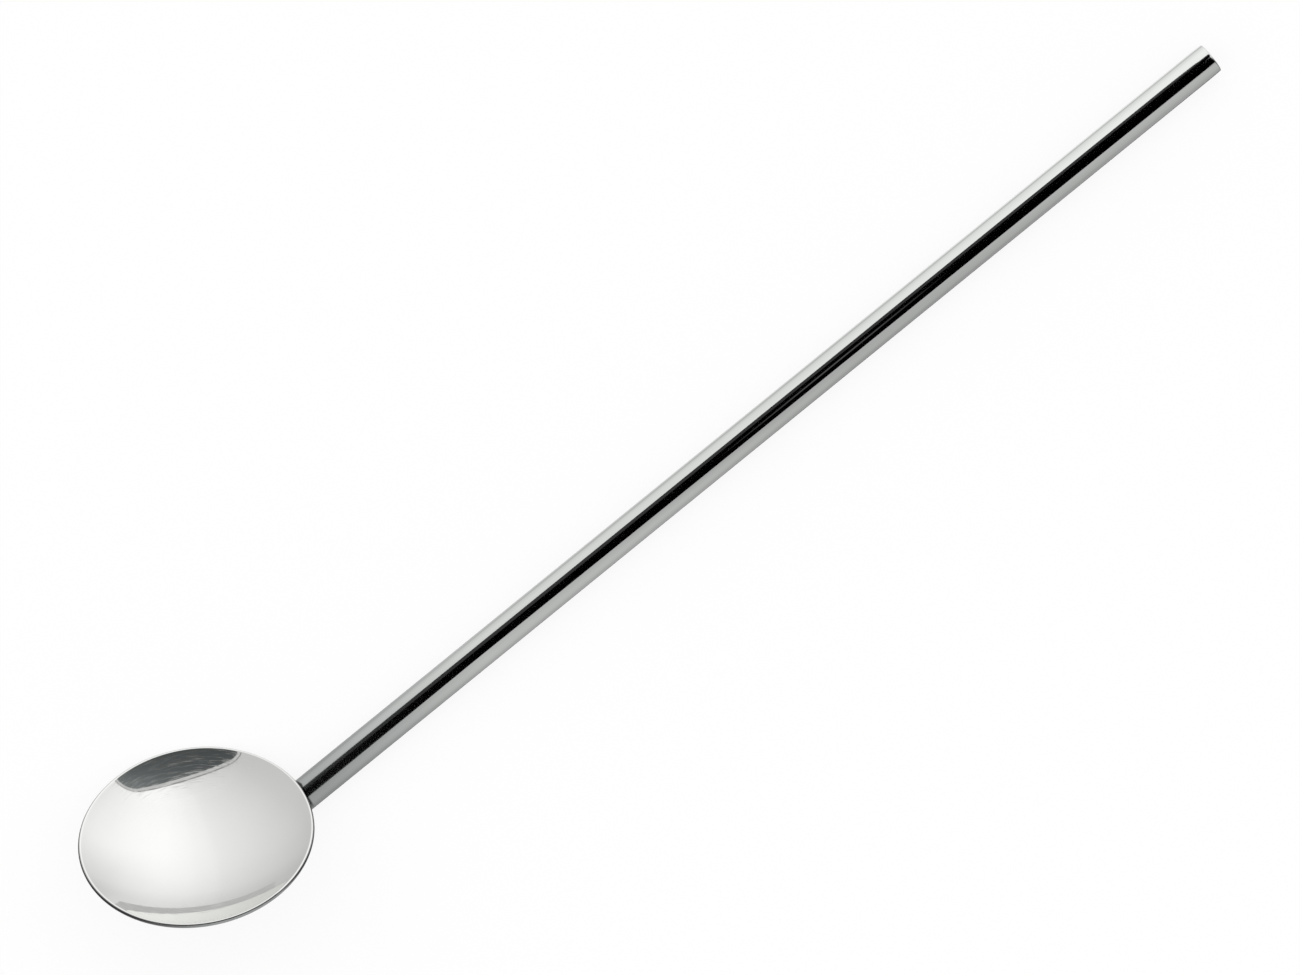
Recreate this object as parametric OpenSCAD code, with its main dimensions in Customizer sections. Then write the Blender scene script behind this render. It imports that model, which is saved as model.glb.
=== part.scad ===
// Spoon straw: a straight metal drinking straw with a round spoon bowl welded on top of its lower end.
// It lies as on a table: the straw along X with its mouth towards +X, the bowl's rim leaning on the table
// at +Y, and Z up. The origin is on the table, under the middle of the box that holds the whole straw.

/* [Straw] */
// Outside diameter of the straw
tube_d = 5; // [4:0.1:8]
// Wall thickness of the straw
tube_wall = 0.6; // [0.5:0.05:0.9]
// Length of the straw, from its mouth to the upper end of its slanted inlet
tube_len = 196; // [120:1:300]
// Angle between the slanted inlet and the straw's axis
inlet_angle = 45; // [35:1:75]

/* [Bowl] */
// Outside diameter of the bowl over its rim
bowl_d = 36; // [28:0.5:44]
// Depth of the inside of the bowl below the middle of its rounded rim
bowl_depth = 4.3; // [3.5:0.1:7]
// Thickness of the bowl's sheet
sheet_t = 0.7; // [0.5:0.05:1]
// Angle between the bowl's rim and the straw
bowl_tilt = 17.5; // [12:0.5:20]

/* [Joint] */
// Depth to which the back of the bowl is let into the top of the straw
seat_depth = 0.15; // [0.1:0.05:0.45]
// Length of straw from the middle of the seat to the upper end of the inlet
seat_tail = 10; // [8:0.5:14]
// Length of each weld bead
bead_len = 12; // [6:0.5:13]
// Radius of the round face of each weld bead
bead_r = 0.75; // [0.65:0.05:1]
// Distance from the middle line of each weld bead to the straw and to the bowl's back
bead_gap = 0.5; // [0.3:0.05:0.6]

/* [Hidden] */
$fn = 96;

// Straw
tube_r = tube_d / 2;
bore_r = tube_r - tube_wall;
lip_r = tube_wall / 2;
mouth_x = tube_len - seat_tail;
inlet_x = -seat_tail + tube_r / tan(inlet_angle);

// Bowl: the middle of its sheet is part of a sphere, and its rim is rounded over the full thickness
rim_r = (bowl_d - sheet_t) / 2;
mid_depth = bowl_depth + sheet_t / 2;
mid_r = (rim_r * rim_r + mid_depth * mid_depth) / (2 * mid_depth);
back_r = mid_r + sheet_t / 2;
inside_r = mid_r - sheet_t / 2;
rim_angle = asin(rim_r / mid_r);
// Height of the sphere's centre above the rim, and above the straw's axis
centre_lift = mid_r - mid_depth;
centre_z = tube_r - seat_depth + back_r;
// Centre of the rim, with the middle of the seat at X = 0 and the straw's axis at Z = 0
rim_x = -centre_lift * sin(bowl_tilt);
rim_z = centre_z - centre_lift * cos(bowl_tilt);

// Roll about the straw at which its rim touches the table that the straw lies on
roll_a = rim_z * rim_z + pow(rim_r * cos(bowl_tilt), 2);
roll_b = rim_z * (tube_r - sheet_t / 2);
roll_c = pow(tube_r - sheet_t / 2, 2) - rim_r * rim_r;
rest_roll = acos((-roll_b + sqrt(roll_b * roll_b - roll_a * roll_c)) / roll_a);

// Place of the middle of the seat when the origin is under the middle of the whole
back_x = rim_x - rim_r * cos(bowl_tilt) - sheet_t / 2;
place = [-(back_x + mouth_x) / 2, -rim_z * sin(rest_roll), tube_r];

// Weld beads: the middle line is an arc, and its middle and ends are bead_gap from the straw and the bowl's back
function bead_z(x) =
    (x * x + centre_z * centre_z - pow(back_r + bead_gap, 2) + pow(tube_r + bead_gap, 2)) / (2 * centre_z);
function bead_y(x) = sqrt(pow(tube_r + bead_gap, 2) - pow(bead_z(x), 2));
bead_rise = bead_z(bead_len / 2) - bead_z(0);
bead_drift = bead_y(0) - bead_y(bead_len / 2);
bead_sag = norm([bead_rise, bead_drift]);
bead_arc_r = (pow(bead_len / 2, 2) + bead_sag * bead_sag) / (2 * bead_sag);
bead_half_angle = asin(bead_len / 2 / bead_arc_r);
bead_lean = atan2(bead_drift, bead_rise);

// Moves a piece from the straw's own axes to its place at rest on the table
module at_rest() {
    translate(place) rotate([-rest_roll, 0, 0]) children();
}

// The ball that the back of the bowl is part of
module back_ball() {
    translate([0, 0, centre_z]) sphere(r = back_r);
}

// Half outline of the straw's wall, turned about the axis; the mouth's edge is rounded
module wall_outline() {
    translate([bore_r, -seat_tail]) square([tube_wall, tube_len - lip_r]);
    translate([tube_r - lip_r, mouth_x - lip_r]) circle(r = lip_r);
}

module straw_tube() {
    color([0.80, 0.81, 0.81]) at_rest() difference() {
        rotate([0, 90, 0]) rotate_extrude() wall_outline();
        back_ball();
        translate([inlet_x, 0, 0]) rotate([0, inlet_angle - 90, 0])
            translate([-tube_len, -tube_d, -tube_len]) cube([tube_len, 2 * tube_d, 2 * tube_len]);
    }
}

// Half outline of the bowl's sheet, with the sphere's centre at the origin
module sheet_outline() {
    intersection() {
        difference() {
            circle(r = back_r);
            circle(r = inside_r);
        }
        polygon([[0, 0], [0, -2 * back_r], [2 * back_r * tan(rim_angle), -2 * back_r]]);
    }
    rotate(rim_angle) translate([0, -mid_r]) circle(r = sheet_t / 2);
}

module spoon_bowl() {
    color([0.86, 0.87, 0.86]) at_rest() translate([0, 0, centre_z]) rotate([0, bowl_tilt, 0])
        rotate_extrude() sheet_outline();
}

// A round bead along the groove between the straw and the bowl's back; side is 1 or -1 along Y
module weld_bead(side) {
    mirror([0, side > 0 ? 0 : 1, 0]) difference() {
        translate([0, bead_y(0), bead_z(0)]) rotate([bead_lean, 0, 0]) translate([0, 0, bead_arc_r])
            rotate([90, 0, 0]) rotate([0, 0, -90 - bead_half_angle])
            rotate_extrude(angle = 2 * bead_half_angle) translate([bead_arc_r, 0]) circle(r = bead_r);
        rotate([0, 90, 0]) cylinder(r = tube_r, h = 2 * tube_len, center = true);
        back_ball();
    }
}

module weld_bead_near() {
    color([0.66, 0.65, 0.62]) at_rest() weld_bead(-1);
}

module weld_bead_far() {
    color([0.66, 0.65, 0.62]) at_rest() weld_bead(1);
}

straw_tube();
spoon_bowl();
weld_bead_near();
weld_bead_far();
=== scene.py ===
"""Looks of a spoon straw: a polished steel straw with a round spoon bowl welded on top of its lower end."""

import math

import bpy
from mathutils import Matrix, Vector


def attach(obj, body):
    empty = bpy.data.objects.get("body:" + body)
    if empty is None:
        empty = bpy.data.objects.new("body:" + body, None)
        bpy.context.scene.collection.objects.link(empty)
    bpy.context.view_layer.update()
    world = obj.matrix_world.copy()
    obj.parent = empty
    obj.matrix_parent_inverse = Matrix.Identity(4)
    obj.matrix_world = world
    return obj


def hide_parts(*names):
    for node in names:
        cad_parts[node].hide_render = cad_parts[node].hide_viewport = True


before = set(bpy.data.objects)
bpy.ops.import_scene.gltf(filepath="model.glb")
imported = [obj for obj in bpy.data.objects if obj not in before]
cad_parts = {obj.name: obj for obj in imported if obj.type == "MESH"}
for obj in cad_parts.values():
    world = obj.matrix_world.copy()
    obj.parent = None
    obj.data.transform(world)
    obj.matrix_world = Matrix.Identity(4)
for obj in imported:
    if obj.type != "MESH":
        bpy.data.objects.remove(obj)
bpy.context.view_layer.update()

# Driving sizes of the pieces, in metres, as the solids have them
MM = 0.001
TUBE_R = 2.5 * MM
TUBE_WALL = 0.6 * MM
TUBE_LEN = 196 * MM
INLET_ANGLE = math.radians(45)
BOWL_D = 36 * MM
BOWL_DEPTH = 4.3 * MM
SHEET_T = 0.7 * MM
BOWL_TILT = math.radians(17.5)
SEAT_DEPTH = 0.15 * MM
SEAT_TAIL = 10 * MM
BEAD_LEN = 12 * MM
BEAD_R = 0.75 * MM
BEAD_GAP = 0.5 * MM

# Straw, in its own axes: X runs along it from the middle of the bowl's seat, and Z points at the bowl
BORE_R = TUBE_R - TUBE_WALL
LIP_R = TUBE_WALL / 2
MOUTH_X = TUBE_LEN - SEAT_TAIL
INLET_X = -SEAT_TAIL + TUBE_R / math.tan(INLET_ANGLE)

# Bowl: the middle of its sheet is part of a sphere, whose centre is on the straw's Z axis
RIM_R = (BOWL_D - SHEET_T) / 2
MID_DEPTH = BOWL_DEPTH + SHEET_T / 2
MID_R = (RIM_R ** 2 + MID_DEPTH ** 2) / (2 * MID_DEPTH)
BACK_R = MID_R + SHEET_T / 2
INSIDE_R = MID_R - SHEET_T / 2
RIM_ANGLE = math.asin(RIM_R / MID_R)
CENTRE_LIFT = MID_R - MID_DEPTH
CENTRE_Z = TUBE_R - SEAT_DEPTH + BACK_R
RIM_X = -CENTRE_LIFT * math.sin(BOWL_TILT)
RIM_Z = CENTRE_Z - CENTRE_LIFT * math.cos(BOWL_TILT)

# Rest: the straw lies on the table, rolled until the bowl's rim touches it
ROLL_A = RIM_Z ** 2 + (RIM_R * math.cos(BOWL_TILT)) ** 2
ROLL_B = RIM_Z * (TUBE_R - SHEET_T / 2)
ROLL_C = (TUBE_R - SHEET_T / 2) ** 2 - RIM_R ** 2
REST_ROLL = math.acos((-ROLL_B + math.sqrt(ROLL_B ** 2 - ROLL_A * ROLL_C)) / ROLL_A)
BACK_X = RIM_X - RIM_R * math.cos(BOWL_TILT) - SHEET_T / 2
PLACE = Vector((-(BACK_X + MOUTH_X) / 2, -RIM_Z * math.sin(REST_ROLL), TUBE_R))
AT_REST = Matrix.Translation(PLACE) @ Matrix.Rotation(-REST_ROLL, 4, "X")
BOWL_AT_REST = AT_REST @ Matrix.Translation((0, 0, CENTRE_Z)) @ Matrix.Rotation(BOWL_TILT, 4, "Y")

# Camera, solved from the outline of the straw and the bowl's rim in the photograph
CAMERA_TARGET = Vector((-1.77, -1.20, 2.49)) * MM
CAMERA_AZIMUTH = math.radians(-24.44)
CAMERA_ELEVATION = math.radians(81.043)
CAMERA_ROLL = math.radians(-14.926)
CAMERA_DISTANCE = 2.2666
CAMERA_REACH = 100
FIELD_OF_VIEW = math.radians(5)


def mix(a, b, share):
    return a + (b - a) * share


def steps(count):
    """Evenly spaced shares from 0 to 1."""
    return [i / count for i in range(count + 1)]


def turns(count):
    """Evenly spaced angles round a circle."""
    return [math.tau * i / count for i in range(count)]


def flat_round(t, flatness):
    """A point of a half circle, as (side, out), its side from 1 to -1. A flatness above 2 squares it."""
    side, out = math.cos(math.pi * t), math.sin(math.pi * t)
    return math.copysign(abs(side) ** (2 / flatness), side), out ** (2 / flatness)


def skin(name, rows, matrix, start_tip=None, end_tip=None, loop=False):
    """A smooth mesh over rows of points, each a closed ring. The ends close at a tip or on each other.

    The points are in the piece's own axes, and the matrix takes them to their place at rest."""
    ring = len(rows[0])
    points = [p for row in rows for p in row]
    pairs = [(r, r + 1) for r in range(len(rows) - 1)]
    if loop:
        pairs.append((len(rows) - 1, 0))
    faces = []
    for low, high in pairs:
        for c in range(ring):
            after = (c + 1) % ring
            faces.append((low * ring + c, low * ring + after, high * ring + after, high * ring + c))
    for tip, row, turn in ((start_tip, 0, -1), (end_tip, len(rows) - 1, 1)):
        if tip is None:
            continue
        points.append(tip)
        for c in range(ring):
            edge = (row * ring + c, row * ring + (c + 1) % ring)
            faces.append((*edge[::turn], len(points) - 1))
    mesh = bpy.data.meshes.new(name)
    mesh.from_pydata(points, [], faces)
    mesh.transform(matrix)
    mesh.shade_smooth()
    piece = bpy.data.objects.new(name, mesh)
    bpy.context.scene.collection.objects.link(piece)
    return piece


def stand_for(piece, node):
    """The piece takes the place of a CAD node and of its finish."""
    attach(piece, "root")
    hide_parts(node)


# Shader nodes
WHITE = (1, 1, 1, 1)
SHARE = (0.0, 1.0)
# Range that holds most of a noise node's values
NOISE_RANGE = (0.25, 0.75)
NOISE_DETAIL = 3.0
# Sockets of a Mix node that mixes colours
MIX_SHARE, MIX_FIRST, MIX_SECOND, MIX_RESULT = 0, 6, 7, 2


def new_material(name):
    material = bpy.data.materials.new(name)
    material.use_nodes = True
    tree = material.node_tree
    tree.nodes.clear()
    return material, tree


def add(tree, kind, inputs=(), **settings):
    """A new node, with its settings and its inputs set to values or linked to sockets."""
    node = tree.nodes.new(kind)
    for key, value in settings.items():
        setattr(node, key, value)
    for key, value in dict(inputs).items():
        if isinstance(value, bpy.types.NodeSocket):
            tree.links.new(value, node.inputs[key])
        else:
            node.inputs[key].default_value = value
    return node


def object_coordinates(tree):
    return add(tree, "ShaderNodeTexCoord").outputs["Object"]


def own_coordinates(tree, matrix):
    """Coordinates in a piece's own axes, which the matrix takes to their place at rest."""
    inputs = {"Vector": object_coordinates(tree), "Location": matrix.to_translation(),
              "Rotation": matrix.to_euler()}
    return add(tree, "ShaderNodeMapping", inputs, vector_type="TEXTURE").outputs[0]


def parts_of(tree, vector):
    return add(tree, "ShaderNodeSeparateXYZ", {0: vector}).outputs


def maths(tree, operation, *values):
    return add(tree, "ShaderNodeMath", enumerate(values), operation=operation).outputs[0]


def vector_maths(tree, operation, *values):
    return add(tree, "ShaderNodeVectorMath", enumerate(values), operation=operation).outputs


def between(tree, value, source, target):
    """The value moved from one range to another, and kept inside it."""
    inputs = {"Value": value, "From Min": source[0], "From Max": source[1],
              "To Min": target[0], "To Max": target[1]}
    return add(tree, "ShaderNodeMapRange", inputs).outputs["Result"]


def stretched_noise(tree, vector, scale, detail=NOISE_DETAIL):
    """Noise from -1 to 1, with its own scale along each axis, per metre."""
    mapped = add(tree, "ShaderNodeMapping", {"Vector": vector, "Scale": scale})
    inputs = {"Vector": mapped.outputs[0], "Scale": 1.0, "Detail": detail}
    noise = add(tree, "ShaderNodeTexNoise", inputs)
    return between(tree, noise.outputs["Fac"], NOISE_RANGE, (-1.0, 1.0))


def spread(tree, noise, target):
    """Noise from -1 to 1, moved to another range."""
    return between(tree, noise, (-1.0, 1.0), target)


def tinted(tree, colour, other, share):
    """A colour between two others, each of which is a socket or three numbers."""
    first, second = (c if isinstance(c, bpy.types.NodeSocket) else (*c, 1) for c in (colour, other))
    inputs = {MIX_SHARE: share, MIX_FIRST: first, MIX_SECOND: second}
    return add(tree, "ShaderNodeMix", inputs, data_type="RGBA").outputs[MIX_RESULT]


def brightest(stops):
    return max(brightness for _, brightness in stops)


def scale_of_stops(tree, value, stops):
    """A grey that follows a scale of stops, (place, brightness), as a share of the brightest stop."""
    low, high = stops[0][0], stops[-1][0]
    ramp = add(tree, "ShaderNodeValToRGB", {"Fac": between(tree, value, (low, high), SHARE)})
    scale = ramp.color_ramp
    scale.interpolation = "CARDINAL"
    while len(scale.elements) < len(stops):
        scale.elements.new(0.5)
    for element, (place, brightness) in zip(scale.elements, stops):
        element.position = (place - low) / (high - low)
        element.color = (*[brightness / brightest(stops)] * 3, 1)
    return ramp.outputs["Color"]


def metal(tree, colour, roughness, height, relief):
    """The shader of a bare metal, from sockets. The height shows with that relief, in metres."""
    inputs = {"Base Color": colour, "Metallic": 1.0, "Roughness": roughness}
    if relief:
        bump = add(tree, "ShaderNodeBump", {"Height": height, "Strength": 1.0, "Distance": relief})
        inputs["Normal"] = bump.outputs[0]
    shader = add(tree, "ShaderNodeBsdfPrincipled", inputs)
    add(tree, "ShaderNodeOutputMaterial", {"Surface": shader.outputs[0]})


# Finish of the straw. Lines and smudges are noise, with its scale along each axis per metre, and pairs of
# tints or roughnesses are what it varies between. Relief is in metres.
DRAW_LINES = (25, 5000, 5000)
DRAW_RELIEF = 0.25e-6
DRAW_ROUGH = 0.012
SMUDGES = (60, 300, 300)
SMUDGE_ROUGH = 0.01
STRAW_TINTS = ((0.67, 0.685, 0.67), (0.71, 0.725, 0.71))
# From polished to dull, along the straw
DULL_X = (42 * MM, 10 * MM)
DULL_ROUGH = (0.05, 0.15)
DULL_TINT = (0.44, 0.46, 0.45)
# Painted shade: a dark tint on the upper side of the straw beside the bowl's rim, where the gap under the rim
# looks dark, as (x, share). Its ends slant by a share of the distance from the straw's middle plane, and it
# sets in over a range of Z.
RIM_SHADE = [(5.5 * MM, 0), (6.6 * MM, 0.45), (7.6 * MM, 1), (8.15 * MM, 1), (8.42 * MM, 0)]
RIM_SHADE_SLANT = 0.24
RIM_SHADE_Z = (-1.0 * MM, 0.5 * MM)
RIM_SHADE_TINT = (0.05, 0.05, 0.049)

# Finish of the straw's bore
BORE_LINES = (40, 3000, 3000)
BORE_RELIEF = 3e-6
BORE_ROUGH = (0.34, 0.48)
BORE_TINTS = ((0.36, 0.36, 0.35), (0.48, 0.48, 0.47))

# Finish of the bowl. The scratches have their scale along the radius and round the axis.
SCRATCHES = (9000, 5, 5)
SCRATCH_DETAIL = 1.0
POLISH_HAZE = (90, 90, 90)
INSIDE_TINTS = ((0.79, 0.795, 0.775), (0.81, 0.815, 0.795))
INSIDE_ROUGH = (0.012, 0.02)
INSIDE_SCRATCH_ROUGH = 0.22
BACK_TINTS = ((0.74, 0.745, 0.735), (0.77, 0.775, 0.765))
BACK_ROUGH = (0.06, 0.1)
BACK_SCRATCH_ROUGH = 0.15
BACK_RELIEF = 0.1e-6
RIM_GRAIN = (1800, 1800, 1800)
RIM_RELIEF = 0.5e-6
RIM_ROUGH = (0.10, 0.16)
# Satin edge, its tint darkened in part as painted shade for the dark line along the rim's edge
RIM_SATIN_AND_SHADE_TINTS = ((0.42, 0.43, 0.43), (0.50, 0.51, 0.50))

# Finish of the weld beads
WELD_GRAIN = (2500, 2500, 2500)
WELD_HEAT = (350, 350, 350)
WELD_RELIEF = 6e-6
WELD_ROUGH = (0.26, 0.42)
WELD_TINTS = ((0.56, 0.50, 0.41), (0.50, 0.51, 0.54))


def rim_shade_share(tree, where):
    """The share of the painted shade beside the bowl's rim at a place in the straw's own axes."""
    parts = parts_of(tree, where)
    aside = maths(tree, "ABSOLUTE", parts["Y"])
    along = maths(tree, "ADD", parts["X"], maths(tree, "MULTIPLY", aside, RIM_SHADE_SLANT))
    upper = between(tree, parts["Z"], RIM_SHADE_Z, SHARE)
    return maths(tree, "MULTIPLY", scale_of_stops(tree, along, RIM_SHADE), upper)


def straw_steel():
    """Polished straw: faint draw lines, a duller stretch near the bowl, and painted shade beside the rim."""
    material, tree = new_material("straw_steel")
    where = own_coordinates(tree, AT_REST)
    lines = stretched_noise(tree, where, DRAW_LINES)
    smudges = stretched_noise(tree, where, SMUDGES)
    dull = between(tree, parts_of(tree, where)["X"], DULL_X, SHARE)
    colour = tinted(tree, *STRAW_TINTS, spread(tree, lines, SHARE))
    colour = tinted(tree, colour, DULL_TINT, dull)
    # Painted shade: the straw darkens beside the bowl's rim, where the gap under the rim looks dark
    colour = tinted(tree, colour, RIM_SHADE_TINT, rim_shade_share(tree, where))
    roughness = between(tree, dull, SHARE, DULL_ROUGH)
    roughness = maths(tree, "ADD", roughness, maths(tree, "MULTIPLY", lines, DRAW_ROUGH))
    roughness = maths(tree, "ADD", roughness, maths(tree, "MULTIPLY", smudges, SMUDGE_ROUGH))
    metal(tree, colour, roughness, lines, DRAW_RELIEF)
    return material


def bore_steel():
    """Inside of the straw: as drawn, dull and a little darker."""
    material, tree = new_material("bore_steel")
    lines = stretched_noise(tree, own_coordinates(tree, AT_REST), BORE_LINES)
    colour = tinted(tree, *BORE_TINTS, spread(tree, lines, SHARE))
    metal(tree, colour, spread(tree, lines, BORE_ROUGH), lines, BORE_RELIEF)
    return material


def bowl_steel(name, tints, roughness, scratch_roughness, relief=0.0):
    """Polished bowl: fine scratches round its axis from the polishing wheel, and faint haze in patches."""
    material, tree = new_material(name)
    where = own_coordinates(tree, BOWL_AT_REST)
    parts = parts_of(tree, where)
    flat = add(tree, "ShaderNodeCombineXYZ", {"X": parts["X"], "Y": parts["Y"]}).outputs[0]
    across = vector_maths(tree, "LENGTH", flat)["Value"]
    turn = parts_of(tree, vector_maths(tree, "NORMALIZE", flat)[0])
    ring_place = add(tree, "ShaderNodeCombineXYZ", {"X": across, "Y": turn["X"], "Z": turn["Y"]}).outputs[0]
    scratches = stretched_noise(tree, ring_place, SCRATCHES, SCRATCH_DETAIL)
    haze = stretched_noise(tree, where, POLISH_HAZE)
    colour = tinted(tree, *tints, spread(tree, haze, SHARE))
    scratched = between(tree, scratches, SHARE, (0.0, scratch_roughness))
    varied = maths(tree, "ADD", scratched, spread(tree, haze, roughness))
    metal(tree, colour, varied, scratches, relief)
    return material


def rim_steel():
    """Edge of the bowl's sheet: tumbled to a satin, and tinted darker as painted shade for the dark line along
    the rim.
    """
    material, tree = new_material("rim_steel")
    grain = stretched_noise(tree, object_coordinates(tree), RIM_GRAIN)
    colour = tinted(tree, *RIM_SATIN_AND_SHADE_TINTS, spread(tree, grain, SHARE))
    metal(tree, colour, spread(tree, grain, RIM_ROUGH), grain, RIM_RELIEF)
    return material


def weld_metal():
    """Weld metal: satin ripples with a little straw and blue heat tint."""
    material, tree = new_material("weld_metal")
    where = object_coordinates(tree)
    grain = stretched_noise(tree, where, WELD_GRAIN)
    heat = stretched_noise(tree, where, WELD_HEAT)
    colour = tinted(tree, *WELD_TINTS, spread(tree, heat, SHARE))
    metal(tree, colour, spread(tree, grain, WELD_ROUGH), grain, WELD_RELIEF)
    return material


# Straw
STRAW_SIDES = 224
# The rows lie close up to here, past the place where the bowl's back cuts into the wall
CLOSE_X = 9 * MM
CLOSE_STEPS = 72
SHANK_STEPS = 60
BORE_STEPS = 20
INLET_EDGE = 0.08 * MM
INLET_EDGE_STEPS = 5
# The last stretch before the mouth is eased inwards by this much
EASE = 0.035 * MM
EASE_LEN = 2.4 * MM
EASE_STEPS = 12
# 2 gives a round lip, and more gives a flatter one with the same width
LIP_FLATNESS = 4.5
LIP_STEPS = 16
# Place in the straw's list of finishes, after the outside's
BORE_FINISH = 1


def seat_radius(x, angle):
    """How far from the straw's axis the back of the bowl is, in the direction of that angle from Z."""
    reach = CENTRE_Z * math.cos(angle)
    square = reach ** 2 - CENTRE_Z ** 2 - x ** 2 + BACK_R ** 2
    if reach < 0 or square < 0:
        return math.inf
    return reach - math.sqrt(square)


def inlet_end(radius, angle):
    """Where the slanted inlet ends the straw, along X, at that radius and angle."""
    return INLET_X - radius * math.cos(angle) / math.tan(INLET_ANGLE)


def rounded_corner(start, corner, end):
    """Points of a round edge between two points, which bends at the corner."""
    curve = []
    for t in steps(INLET_EDGE_STEPS):
        curve.append(tuple((1 - t) ** 2 * a + 2 * t * (1 - t) * b + t ** 2 * c
                           for a, b, c in zip(start, corner, end)))
    return curve


def eased_mouth(lip_x, t):
    """A point of the eased stretch before the mouth, as (x, radius)."""
    return lip_x - EASE_LEN * (1 - t), TUBE_R - EASE * t ** 2


def straw_profile(angle):
    """Closed outline of the wall at that angle, as (x, radius): outside, mouth, bore and slanted inlet."""
    outer_end = inlet_end(TUBE_R, angle)
    inner_end = inlet_end(BORE_R, angle)
    lip_x = MOUTH_X - LIP_R
    outside = [(mix(outer_end + INLET_EDGE, CLOSE_X, t), TUBE_R) for t in steps(CLOSE_STEPS)]
    outside += [(mix(CLOSE_X, lip_x - EASE_LEN, t), TUBE_R) for t in steps(SHANK_STEPS)[1:]]
    outside += [eased_mouth(lip_x, t) for t in steps(EASE_STEPS)[1:]]
    eased_r = LIP_R - EASE / 2
    half_round = [flat_round(t, LIP_FLATNESS) for t in steps(LIP_STEPS)[1:-1]]
    lip = [(lip_x + LIP_R * out, BORE_R + eased_r + eased_r * side) for side, out in half_round]
    bore = [(mix(lip_x, CLOSE_X, t), BORE_R) for t in steps(BORE_STEPS)]
    bore += [(mix(CLOSE_X, inner_end + INLET_EDGE, t), BORE_R) for t in steps(BORE_STEPS)[1:]]
    inner_face = (inlet_end(BORE_R + INLET_EDGE, angle), BORE_R + INLET_EDGE)
    outer_face = (inlet_end(TUBE_R - INLET_EDGE, angle), TUBE_R - INLET_EDGE)
    inner_edge = rounded_corner(bore[-1], (inner_end, BORE_R), inner_face)[1:]
    outer_edge = rounded_corner(outer_face, (outer_end, TUBE_R), outside[0])[:-1]
    outside = [(x, min(radius, seat_radius(x, angle))) for x, radius in outside]
    return outside, lip, bore, inner_edge + outer_edge


def make_straw():
    angles = turns(STRAW_SIDES)
    profiles = [straw_profile(a) for a in angles]
    outlines = [[p for part in profile for p in part] for profile in profiles]
    rows = []
    for station in range(len(outlines[0])):
        row = []
        for angle, outline in zip(angles, outlines):
            x, radius = outline[station]
            row.append((x, radius * math.sin(angle), radius * math.cos(angle)))
        rows.append(row)
    straw = skin("straw_tube_polished", rows, AT_REST, loop=True)
    straw.data.materials.append(straw_steel())
    straw.data.materials.append(bore_steel())
    outside, lip, bore, _ = profiles[0]
    first_bore_row = len(outside) + len(lip)
    last_bore_row = first_bore_row + len(bore) - 1
    for face in straw.data.polygons:
        if first_bore_row <= face.index // STRAW_SIDES < last_bore_row:
            face.material_index = BORE_FINISH
    stand_for(straw, "straw_tube")
    return straw


# Bowl
BOWL_SIDES = 256
BOWL_STEPS = 64
RIM_STEPS = 32
# Share of the way over the rim that is polished with the inside
POLISHED_RIM = 0.3
# 2 gives a round rim, and more gives a flatter one with the same width
RIM_FLATNESS = 2.6
# Places in the bowl's list of finishes, after the inside's
RIM_FINISH, BACK_FINISH = 1, 2


def bowl_profile():
    """Outline of the sheet, as (radius, z): from the inside's middle, over the rim, to the back's middle."""
    slopes = [RIM_ANGLE * t for t in steps(BOWL_STEPS)[1:]]
    inside = [(INSIDE_R * math.sin(a), -INSIDE_R * math.cos(a)) for a in slopes]
    rim = []
    for t in steps(RIM_STEPS)[1:-1]:
        side, out = flat_round(t, RIM_FLATNESS)
        outwards = out * SHEET_T / 2
        from_centre = MID_R - side * SHEET_T / 2
        rim.append((from_centre * math.sin(RIM_ANGLE) + outwards * math.cos(RIM_ANGLE),
                    -from_centre * math.cos(RIM_ANGLE) + outwards * math.sin(RIM_ANGLE)))
    back = [(BACK_R * math.sin(a), -BACK_R * math.cos(a)) for a in reversed(slopes)]
    return inside, rim, back


def make_bowl():
    inside, rim, back = bowl_profile()
    rows = []
    for radius, z in inside + rim + back:
        rows.append([(radius * math.cos(a), radius * math.sin(a), z) for a in turns(BOWL_SIDES)])
    bowl = skin("spoon_bowl_polished", rows, BOWL_AT_REST, (0, 0, -INSIDE_R), (0, 0, -BACK_R))
    inside_steel = bowl_steel("bowl_inside_steel", INSIDE_TINTS, INSIDE_ROUGH, INSIDE_SCRATCH_ROUGH)
    back_steel = bowl_steel("bowl_back_steel", BACK_TINTS, BACK_ROUGH, BACK_SCRATCH_ROUGH, BACK_RELIEF)
    for steel in (inside_steel, rim_steel(), back_steel):
        bowl.data.materials.append(steel)
    first_dull = len(inside) + int(len(rim) * POLISHED_RIM)
    first_back = len(inside) + len(rim)
    middle_of_inside = len(rows) - 1
    for face in bowl.data.polygons:
        row = face.index // BOWL_SIDES
        if row >= first_dull and row != middle_of_inside:
            face.material_index = RIM_FINISH if row < first_back else BACK_FINISH
    stand_for(bowl, "spoon_bowl")
    return bowl


# Weld beads
BEAD_SIDES = 40
BEAD_STEPS = 240
# How far a bead runs on into the straw and the bowl's back
BEAD_ROOT = 0.03 * MM
# Step to each side at which the direction of the bead's middle line is taken
BEAD_NUDGE = MM / 10
# Ripples: their distance, their share of the radius, their lag at the bead's edges, and how round they are
RIPPLE_PITCH = 0.8 * MM
RIPPLE_SHARE = 0.05
RIPPLE_LAG = 0.45 * MM
RIPPLE_POWER = 0.7
# Slow swells, as (share of the radius, angle per metre, phase)
SWELLS = ((0.03, 0.9 / MM, 1), (0.02, 2.3 / MM, 2))


def bead_middle(x, side):
    """A point on the bead's middle line, which is BEAD_GAP from the straw and from the bowl's back."""
    z = (x ** 2 + CENTRE_Z ** 2 - (BACK_R + BEAD_GAP) ** 2 + (TUBE_R + BEAD_GAP) ** 2) / (2 * CENTRE_Z)
    y = math.sqrt((TUBE_R + BEAD_GAP) ** 2 - z ** 2)
    return Vector((x, side * y, z))


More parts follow.
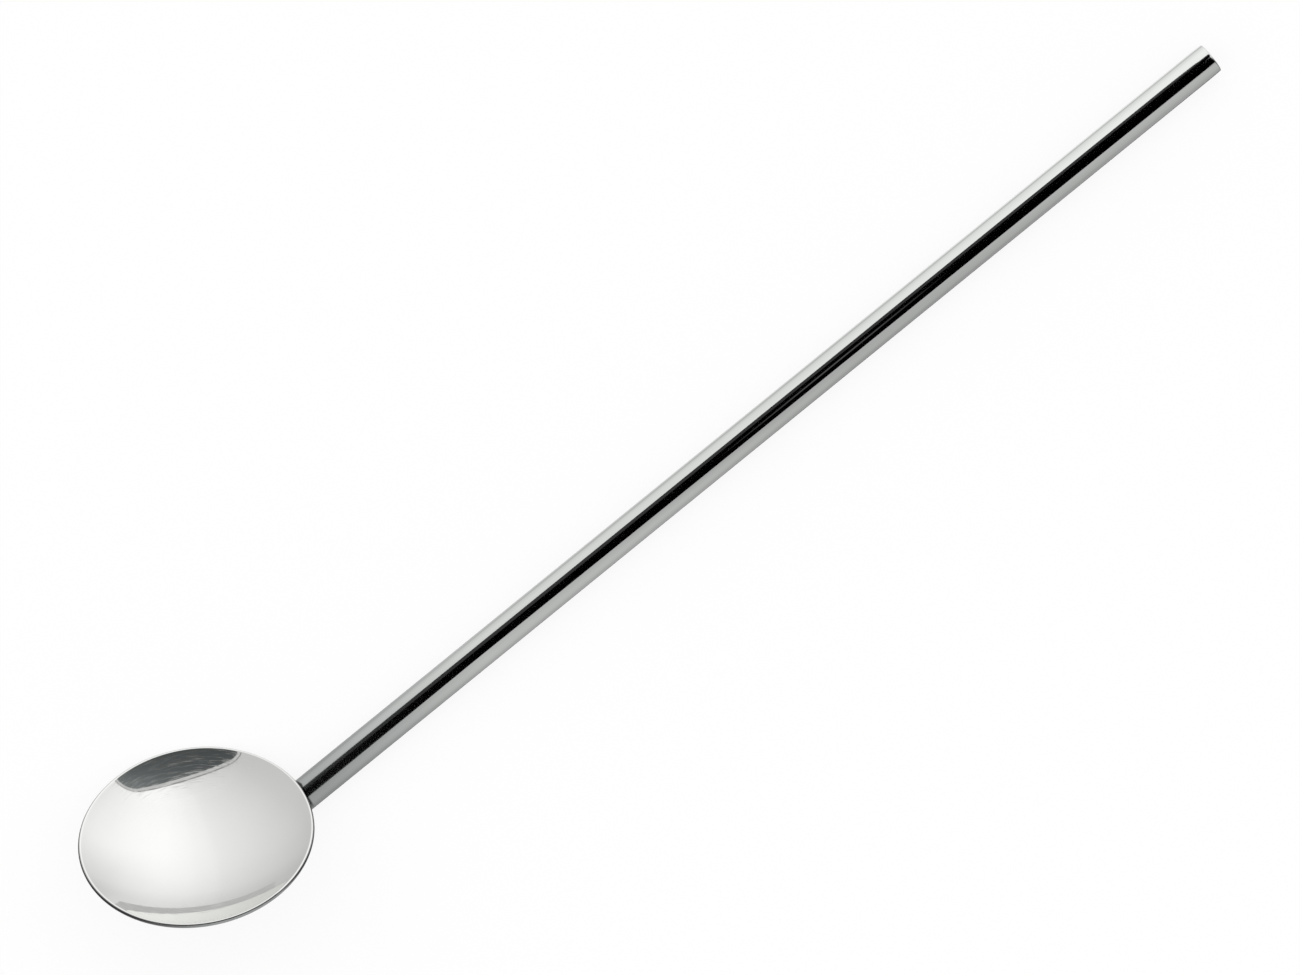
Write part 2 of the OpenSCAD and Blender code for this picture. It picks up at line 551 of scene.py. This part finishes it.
def way_to_ball(start, way, centre, radius):
    """Distance along a way to a ball or, where start, way and centre have no X, to a cylinder along X."""
    from_centre = start - centre
    a = way.dot(way)
    b = from_centre.dot(way)
    square = b ** 2 - a * (from_centre.dot(from_centre) - radius ** 2)
    if b >= 0 or square < 0:
        return math.inf
    return (-b - math.sqrt(square)) / a


def bead_row(x, side):
    """A ring of points round the bead's middle line, kept out of the straw and the bowl but for the root."""
    middle = bead_middle(x, side)
    tangent = (bead_middle(x + BEAD_NUDGE, side) - bead_middle(x - BEAD_NUDGE, side)).normalized()
    ball = Vector((0, 0, CENTRE_Z))
    from_axis = Vector((0, middle.y, middle.z))
    outwards = from_axis.normalized() + (middle - ball).normalized()
    outwards = (outwards - tangent * outwards.dot(tangent)).normalized()
    across = tangent.cross(outwards)
    past_end = max(0.0, abs(x) - (BEAD_LEN / 2 - BEAD_R)) / BEAD_R
    swell = sum(share * math.sin(x * pace + phase * side) for share, pace, phase in SWELLS)
    row = []
    for angle in turns(BEAD_SIDES):
        way = outwards * math.cos(angle) + across * math.sin(angle)
        lagging = x + RIPPLE_LAG * math.sin(angle) ** 2
        ripple = abs(math.sin(math.pi * lagging / RIPPLE_PITCH)) ** RIPPLE_POWER - 0.5
        radius = BEAD_R * (1 + RIPPLE_SHARE * ripple + swell) * math.sqrt(max(0.0, 1 - past_end ** 2))
        to_straw = way_to_ball(from_axis, Vector((0, way.y, way.z)), Vector(), TUBE_R)
        to_bowl = way_to_ball(middle, way, ball, BACK_R)
        row.append(middle + way * min(radius, to_straw + BEAD_ROOT, to_bowl + BEAD_ROOT))
    return row


def make_bead(name, side, metal_of_weld):
    places = [BEAD_LEN / 2 * math.sin(math.pi * (t - 0.5)) for t in steps(BEAD_STEPS)[1:-1]]
    rows = [bead_row(x, side) for x in places]
    tips = [bead_middle(x, side) for x in (-BEAD_LEN / 2, BEAD_LEN / 2)]
    bead = skin(name + "_rippled", rows, AT_REST, *tips)
    bead.data.materials.append(metal_of_weld)
    stand_for(bead, name)


# Stage
FLOOR_SIZE = 8.0
FLOOR_DROP = 0.02 * MM
FLOOR_COLOUR = (0.98, 0.98, 0.98, 1)
# How far the floor, as the camera sees it, goes from its shaded colour to plain white
FLOOR_WHITE = 0.86
# Metal sees the tent's lower half through the floor, but for the shadow this close to the object
FLOOR_CLOSE = 2.5 * MM
FLOOR_CLOSE_SAMPLES = 8


def camera_turn():
    """The camera's axes: right, up and back."""
    back = Vector((math.sin(CAMERA_AZIMUTH) * math.cos(CAMERA_ELEVATION),
                   -math.cos(CAMERA_AZIMUTH) * math.cos(CAMERA_ELEVATION),
                   math.sin(CAMERA_ELEVATION)))
    turn = (-back).to_track_quat("-Z", "Y").to_matrix()
    return turn @ Matrix.Rotation(CAMERA_ROLL, 3, "Z")


def make_camera():
    data = bpy.data.cameras.new("camera")
    data.sensor_fit = "HORIZONTAL"
    data.angle = FIELD_OF_VIEW
    data.clip_end = CAMERA_REACH
    camera = bpy.data.objects.new("camera", data)
    turn = camera_turn()
    camera.matrix_world = Matrix.Translation(CAMERA_TARGET + turn.col[2] * CAMERA_DISTANCE) @ turn.to_4x4()
    bpy.context.scene.collection.objects.link(camera)
    bpy.context.scene.camera = camera


def floor_white():
    """White floor with a faint shadow. Metal sees through it, but for the shadow close to the object."""
    material, tree = new_material("floor_white")
    shaded = add(tree, "ShaderNodeBsdfDiffuse", {"Color": FLOOR_COLOUR}).outputs[0]
    white = add(tree, "ShaderNodeEmission", {"Color": WHITE, "Strength": 1.0}).outputs[0]
    ray = add(tree, "ShaderNodeLightPath").outputs
    seen = maths(tree, "MAXIMUM", ray["Is Camera Ray"], ray["Is Transmission Ray"])
    share = maths(tree, "MULTIPLY", seen, FLOOR_WHITE)
    surface = add(tree, "ShaderNodeMixShader", {0: share, 1: shaded, 2: white}).outputs[0]
    close = add(tree, "ShaderNodeAmbientOcclusion", {"Distance": FLOOR_CLOSE}, samples=FLOOR_CLOSE_SAMPLES)
    shadow = vector_maths(tree, "MULTIPLY", close.outputs["Color"], close.outputs["Color"])[0]
    mirrored = add(tree, "ShaderNodeBsdfTransparent", {"Color": shadow}).outputs[0]
    surface = add(tree, "ShaderNodeMixShader", {0: ray["Is Glossy Ray"], 1: surface, 2: mirrored}).outputs[0]
    add(tree, "ShaderNodeOutputMaterial", {"Surface": surface})
    return material


def make_floor():
    half = FLOOR_SIZE / 2
    corners = [(x, y, -FLOOR_DROP) for x, y in ((-half, -half), (half, -half), (half, half), (-half, half))]
    mesh = bpy.data.meshes.new("floor")
    mesh.from_pydata(corners, [], [(0, 1, 2, 3)])
    mesh.materials.append(floor_white())
    floor = bpy.data.objects.new("floor", mesh)
    bpy.context.scene.collection.objects.link(floor)


def make_world():
    world = bpy.data.worlds.new("white_room")
    world.use_nodes = True
    background = world.node_tree.nodes["Background"]
    background.inputs["Color"].default_value = WHITE
    background.inputs["Strength"].default_value = 1.0
    bpy.context.scene.world = world


# Round tent that the metal reflects. Its axes are the camera's, from the camera's target: U right, V up and
# W back.
TENT_R = 400 * MM
TENT_SIDES = 64
# Brightness by the direction in the image, in degrees from right over up to left, and the share of it that is
# left by the rise out of the image's plane
GLOW_ROUND = [(-180, 0.25), (-167, 0.08), (-140, 0.15), (-115, 0.45), (-90, 0.65), (-68, 0.65), (-50, 0.68),
              (-38, 0.56), (-20, 0.60), (-8, 0.12), (8, 0.15), (40, 0.88), (62, 1.02), (76, 1.14), (93, 1.22),
              (101, 1.2), (109, 1.13), (118, 1.02), (146, 0.76), (166, 0.6), (180, 0.25)]
GLOW_RISE = [(-90, 0.95), (-60, 0.85), (-46, 0.77), (-34, 0.74), (-28, 0.78), (-22, 0.85), (-8, 0.94),
             (15, 1.0), (37, 0.97), (90, 0.9)]
# Shaded corner of the tent: how much darker it is, and the share of that in each of those directions
SHADE = 0.17
SHADE_ROUND = [(-180, 0), (30, 0), (55, 0.7), (70, 1), (79, 1), (85, 0.65), (92, 0.36), (101, 0.1), (109, 0),
               (180, 0)]
SHADE_RISE = [(-90, 0), (-56, 0), (-43, 1), (-32, 1), (-25, 0.9), (-15, 0.75), (-5, 0.5), (4, 0.15), (12, 0),
              (90, 0)]
# Grey belt low in the tent, with its ends as (direction in the image, lower rise, upper rise)
BELT_R = 398 * MM
BELT_ENDS = ((88, -45.4, -37.1), (135, -39.7, -32.2))
BELT_STEPS = 24
BELT_GLOW = 0.55
# Cards over the object, on a plane across W, with each layer a little nearer to it than the one before. Their
# corners are (u, v, radius) in millimetres.
CARD_W = 250 * MM
CARD_GAP = 0.04 * MM
CORNER_STEPS = 12
# Dark slot. The straw shows it black. The bowl shows it dim, as (v in millimetres, brightness), with a pale
# hem and a thin seam round it.
SLOT = [(-232, -130, 20), (50, -130, 10), (104, 250, 46), (-92, 153, 800), (-228, 110, 30)]
SLOT_DARK = [(-130, 0.06), (90, 0.085), (120, 0.105), (160, 0.15), (220, 0.21)]
SLOT_TINT = (0.93, 1.0, 1.02)
HEM = 10 * MM
HEM_GLOW = 0.66
SEAM = 5 * MM
SEAM_GLOW = 0.33
# Dark rooms past the slot's right side and its upper edge. The straw shows both black, but for a haze towards
# the upper left that only it sees. The bowl shows the side room dim, and cloth in place of the upper room.
SIDE_ROOM = [(30, -100, 0), (310, -100, 0), (310, -50, 0), (97, 140, 0), (30, 140, 0)]
SIDE_GLOW = 0.07
UPPER_ROOM = [(-235, 60, 0), (112, 60, 0), (112, 136, 0), (-26, 276, 15), (-212, 190, 0)]
UPPER_HAZE = [(-235, -70, 0), (62, 202, 0), (-26, 276, 15), (-212, 190, 0)]
HAZE_GLOW = 0.045
# Soft round glow at the slot's right edge that only the straw sees, with its middle as (u, v)
SPOT = (62 * MM, 34 * MM)
SPOT_R = 26 * MM
SPOT_SIDES = 48
SPOT_GLOW = 0.15


def tent_glow(tree, where):
    """The cloth's glow at a place in the tent's axes, as a share of its brightest."""
    parts = parts_of(tree, vector_maths(tree, "NORMALIZE", where)[0])
    round_image = maths(tree, "DEGREES", maths(tree, "ARCTAN2", parts["Y"], parts["X"]))
    rise = maths(tree, "DEGREES", maths(tree, "ARCSINE", parts["Z"]))
    greys = scale_of_stops(tree, round_image, GLOW_ROUND), scale_of_stops(tree, rise, GLOW_RISE)
    glow = vector_maths(tree, "MULTIPLY", *greys)[0]
    shares = scale_of_stops(tree, round_image, SHADE_ROUND), scale_of_stops(tree, rise, SHADE_RISE)
    shade = vector_maths(tree, "MULTIPLY", *shares)[0]
    kept = vector_maths(tree, "MULTIPLY_ADD", shade, (-SHADE, -SHADE, -SHADE), (1, 1, 1))[0]
    return vector_maths(tree, "MULTIPLY", glow, kept)[0]


def shine(tree, colour, strength, clear=False):
    """The shader of a glow. A clear one adds its light to what lies behind it."""
    lamp = add(tree, "ShaderNodeEmission", {"Color": colour, "Strength": strength}).outputs[0]
    if clear:
        through = add(tree, "ShaderNodeBsdfTransparent").outputs[0]
        lamp = add(tree, "ShaderNodeAddShader", {0: lamp, 1: through}).outputs[0]
    add(tree, "ShaderNodeOutputMaterial", {"Surface": lamp})


def cloth_glow(name, clear=False):
    """White cloth lit from behind."""
    material, tree = new_material(name)
    shine(tree, tent_glow(tree, object_coordinates(tree)), brightest(GLOW_ROUND), clear)
    return material


def even_glow(name, brightness, clear=False):
    material, tree = new_material(name)
    shine(tree, WHITE, brightness, clear)
    return material


def spot_glow():
    """A clear glow that is brightest in the middle of the spot and fades out at its edge."""
    material, tree = new_material("spot_glow")
    away = vector_maths(tree, "DISTANCE", object_coordinates(tree), (*SPOT, CARD_W))["Value"]
    shine(tree, WHITE, between(tree, away, (0.0, SPOT_R), (SPOT_GLOW, 0.0)), clear=True)
    return material


def slot_dark():
    """What the bowl shows in the slot: a dim blue grey, paler towards its upper edge."""
    material, tree = new_material("slot_dark")
    stops = [(v * MM, brightness) for v, brightness in SLOT_DARK]
    grey = scale_of_stops(tree, parts_of(tree, object_coordinates(tree))["Y"], stops)
    shine(tree, vector_maths(tree, "MULTIPLY", grey, SLOT_TINT)[0], brightest(stops))
    return material


def tent_piece(name, points, faces, material):
    """A piece of the tent. Only the metal sees it, in reflections."""
    mesh = bpy.data.meshes.new(name)
    mesh.from_pydata(points, [], faces)
    mesh.materials.append(material)
    piece = bpy.data.objects.new(name, mesh)
    piece.matrix_world = Matrix.Translation(CAMERA_TARGET) @ camera_turn().to_4x4()
    piece.visible_camera = False
    piece.visible_diffuse = False
    piece.visible_shadow = False
    bpy.context.scene.collection.objects.link(piece)
    return piece


def rounded_outline(corners, by=0.0):
    """An outline that rounds each corner, (u, v, radius) in millimetres, and lies that far outside it."""
    outline = []
    for i, (u, v, radius) in enumerate(corners):
        here = Vector((u, v)) * MM
        arrive = (here - Vector(corners[i - 1][:2]) * MM).normalized()
        leave = (Vector(corners[(i + 1) % len(corners)][:2]) * MM - here).normalized()
        turn = math.atan2(arrive.x * leave.y - arrive.y * leave.x, arrive.dot(leave))
        bulge = math.copysign(1, turn)
        out = math.atan2(-arrive.x, arrive.y)
        halfway = Vector((math.cos(out + turn / 2), math.sin(out + turn / 2)))
        centre = here - halfway * bulge * radius * MM / math.cos(turn / 2)
        for t in steps(CORNER_STEPS if radius else 1):
            angle = out + turn * t
            way = Vector((math.cos(angle), math.sin(angle)))
            outline.append(centre + way * (bulge * radius * MM + by))
    return outline


def spot_outline():
    u, v = SPOT
    return [(u + SPOT_R * math.cos(a), v + SPOT_R * math.sin(a)) for a in turns(SPOT_SIDES)]


def lights_only(source, piece):
    """Only one piece gets the light of that source. The others see it dark, or clear if it is."""
    receivers = bpy.data.collections.new(source.name + "_receivers")
    receivers.objects.link(piece)
    source.light_linking.receiver_collection = receivers


def on_sphere(radius, turn, rise):
    return (radius * math.cos(rise) * math.cos(turn), radius * math.cos(rise) * math.sin(turn),
            radius * math.sin(rise))


def make_cloth():
    points = [(0, 0, -TENT_R), (0, 0, TENT_R)]
    rows = TENT_SIDES // 2 - 1
    for row in range(rows):
        rise = math.pi * ((row + 1) / (rows + 1) - 0.5)
        points += [on_sphere(TENT_R, turn, rise) for turn in turns(TENT_SIDES)]
    faces = []
    last = 2 + (rows - 1) * TENT_SIDES
    for i in range(TENT_SIDES):
        after = (i + 1) % TENT_SIDES
        faces += [(0, 2 + after, 2 + i), (1, last + i, last + after)]
        for row in range(rows - 1):
            low = 2 + row * TENT_SIDES
            high = low + TENT_SIDES
            faces.append((low + i, low + after, high + after, high + i))
    tent_piece("tent_cloth", points, faces, cloth_glow("cloth_glow"))


def make_belt():
    points = []
    for t in steps(BELT_STEPS):
        turn, low, high = (math.radians(mix(a, b, t)) for a, b in zip(*BELT_ENDS))
        points += [on_sphere(BELT_R, turn, low), on_sphere(BELT_R, turn, high)]
    faces = [(i, i + 1, i + 3, i + 2) for i in range(0, len(points) - 2, 2)]
    tent_piece("tent_belt", points, faces, even_glow("belt_glow", BELT_GLOW))


def make_cards(straw, bowl):
    """The cards over the object, as (layer, name, outline, glow, the piece that gets its light)."""
    cards = [
        (0, "side_room", rounded_outline(SIDE_ROOM), even_glow("side_dark", SIDE_GLOW), bowl),
        (0, "upper_room", rounded_outline(UPPER_ROOM), even_glow("upper_dark", 0.0), None),
        (1, "upper_cloth", rounded_outline(UPPER_ROOM), cloth_glow("upper_cloth_glow", clear=True), bowl),
        (2, "slot_seam", rounded_outline(SLOT, HEM + SEAM), even_glow("seam_glow", SEAM_GLOW), bowl),
        (3, "slot_hem", rounded_outline(SLOT, HEM), even_glow("hem_glow", HEM_GLOW), bowl),
        (4, "slot", rounded_outline(SLOT), slot_dark(), bowl),
        (5, "upper_haze", rounded_outline(UPPER_HAZE), even_glow("haze_glow", HAZE_GLOW, clear=True), straw),
        (6, "spot", spot_outline(), spot_glow(), straw),
    ]
    for layer, name, outline, material, lit in cards:
        points = [(u, v, CARD_W - CARD_GAP * layer) for u, v in outline]
        card = tent_piece(name, points, [tuple(range(len(points)))], material)
        if lit:
            lights_only(card, lit)


make_camera()
straw_tube = make_straw()
spoon_bowl = make_bowl()
weld = weld_metal()
make_bead("weld_bead_near", -1, weld)
make_bead("weld_bead_far", 1, weld)
make_floor()
make_world()
make_cloth()
make_cards(straw_tube, spoon_bowl)
make_belt()
bpy.context.scene.view_settings.view_transform = "Standard"
